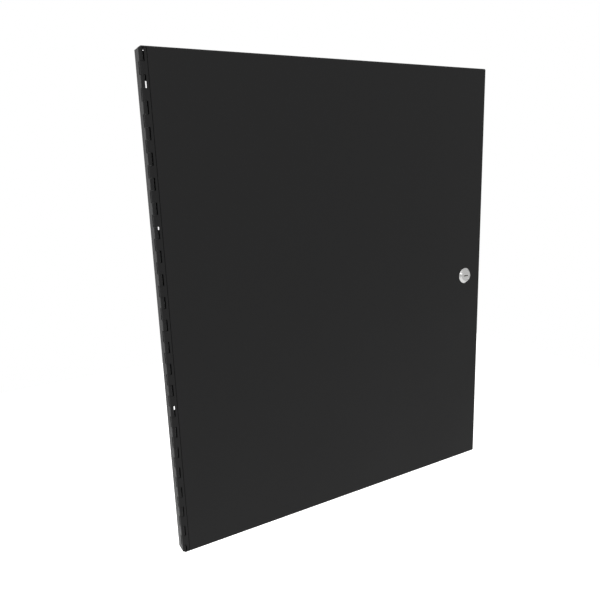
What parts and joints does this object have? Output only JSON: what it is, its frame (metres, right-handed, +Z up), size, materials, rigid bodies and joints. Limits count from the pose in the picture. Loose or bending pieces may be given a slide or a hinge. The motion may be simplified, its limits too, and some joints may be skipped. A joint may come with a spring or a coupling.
{
  "type": "hinged solid rack door",
  "caption": "Solid folded-sheet door for a 19-inch equipment rack, hung on a full-height continuous hinge whose rail screws to the rack, closed by a key cam lock at the free edge.",
  "frame": {"origin": "on the rack rail's face, in the middle of the column of rack-screw holes in the hinge rail's rear flange", "axes": "+X across the door from the hinge to the lock, +Y into the rack along the rack screws, +Z up along the hinge pin"},
  "size_m": [0.4794, 0.0299, 0.5716],
  "materials": {
    "black_coat": "satin black powder coat on folded steel sheet",
    "pin_steel": "plain drawn steel wire",
    "lock_plating": "satin nickel plate on a cast zinc lock",
    "wafer_brass": "plain stamped brass",
    "zinc_plate": "bright zinc-plated steel hardware"
  },
  "bodies": {
    "frame": {"frame_leaf": "black_coat", "hinge_pin": "pin_steel"},
    "door": {"door_panel": "black_coat", "door_leaf": "black_coat", "lock_body": "lock_plating", "lock_washer": "zinc_plate", "lock_nut": "zinc_plate"},
    "key_plug": {"lock_plug": "lock_plating", "stop_washer": "zinc_plate", "lock_cam": "zinc_plate", "cam_washer": "zinc_plate", "cam_nut": "zinc_plate"},
    "wafer_1": {"wafer_1": "wafer_brass"},
    "wafer_2": {"wafer_2": "wafer_brass"},
    "wafer_3": {"wafer_3": "wafer_brass"},
    "wafer_4": {"wafer_4": "wafer_brass"},
    "wafer_5": {"wafer_5": "wafer_brass"}
  },
  "joints": [
    {"name": "door_hinge", "type": "hinge", "parent": "frame", "child": "door", "pos_m": [-0.00665, -0.0149, 0], "axis": [0, 0, -1], "range_deg": [0, 180]},
    {"name": "lock_turn", "type": "hinge", "parent": "door", "child": "key_plug", "pos_m": [0.44125, -0.017, 0], "axis": [0, -1, 0], "range_deg": [0, 90]},
    {"name": "wafer_1_slide", "type": "slide", "parent": "key_plug", "child": "wafer_1", "axis": [1, 0, 0], "range_m": [0, 0.0008]},
    {"name": "wafer_2_slide", "type": "slide", "parent": "key_plug", "child": "wafer_2", "axis": [-1, 0, 0], "range_m": [0, 0.0008]},
    {"name": "wafer_3_slide", "type": "slide", "parent": "key_plug", "child": "wafer_3", "axis": [1, 0, 0], "range_m": [0, 0.0008]},
    {"name": "wafer_4_slide", "type": "slide", "parent": "key_plug", "child": "wafer_4", "axis": [-1, 0, 0], "range_m": [0, 0.0008]},
    {"name": "wafer_5_slide", "type": "slide", "parent": "key_plug", "child": "wafer_5", "axis": [1, 0, 0], "range_m": [0, 0.0008]}
  ]
}
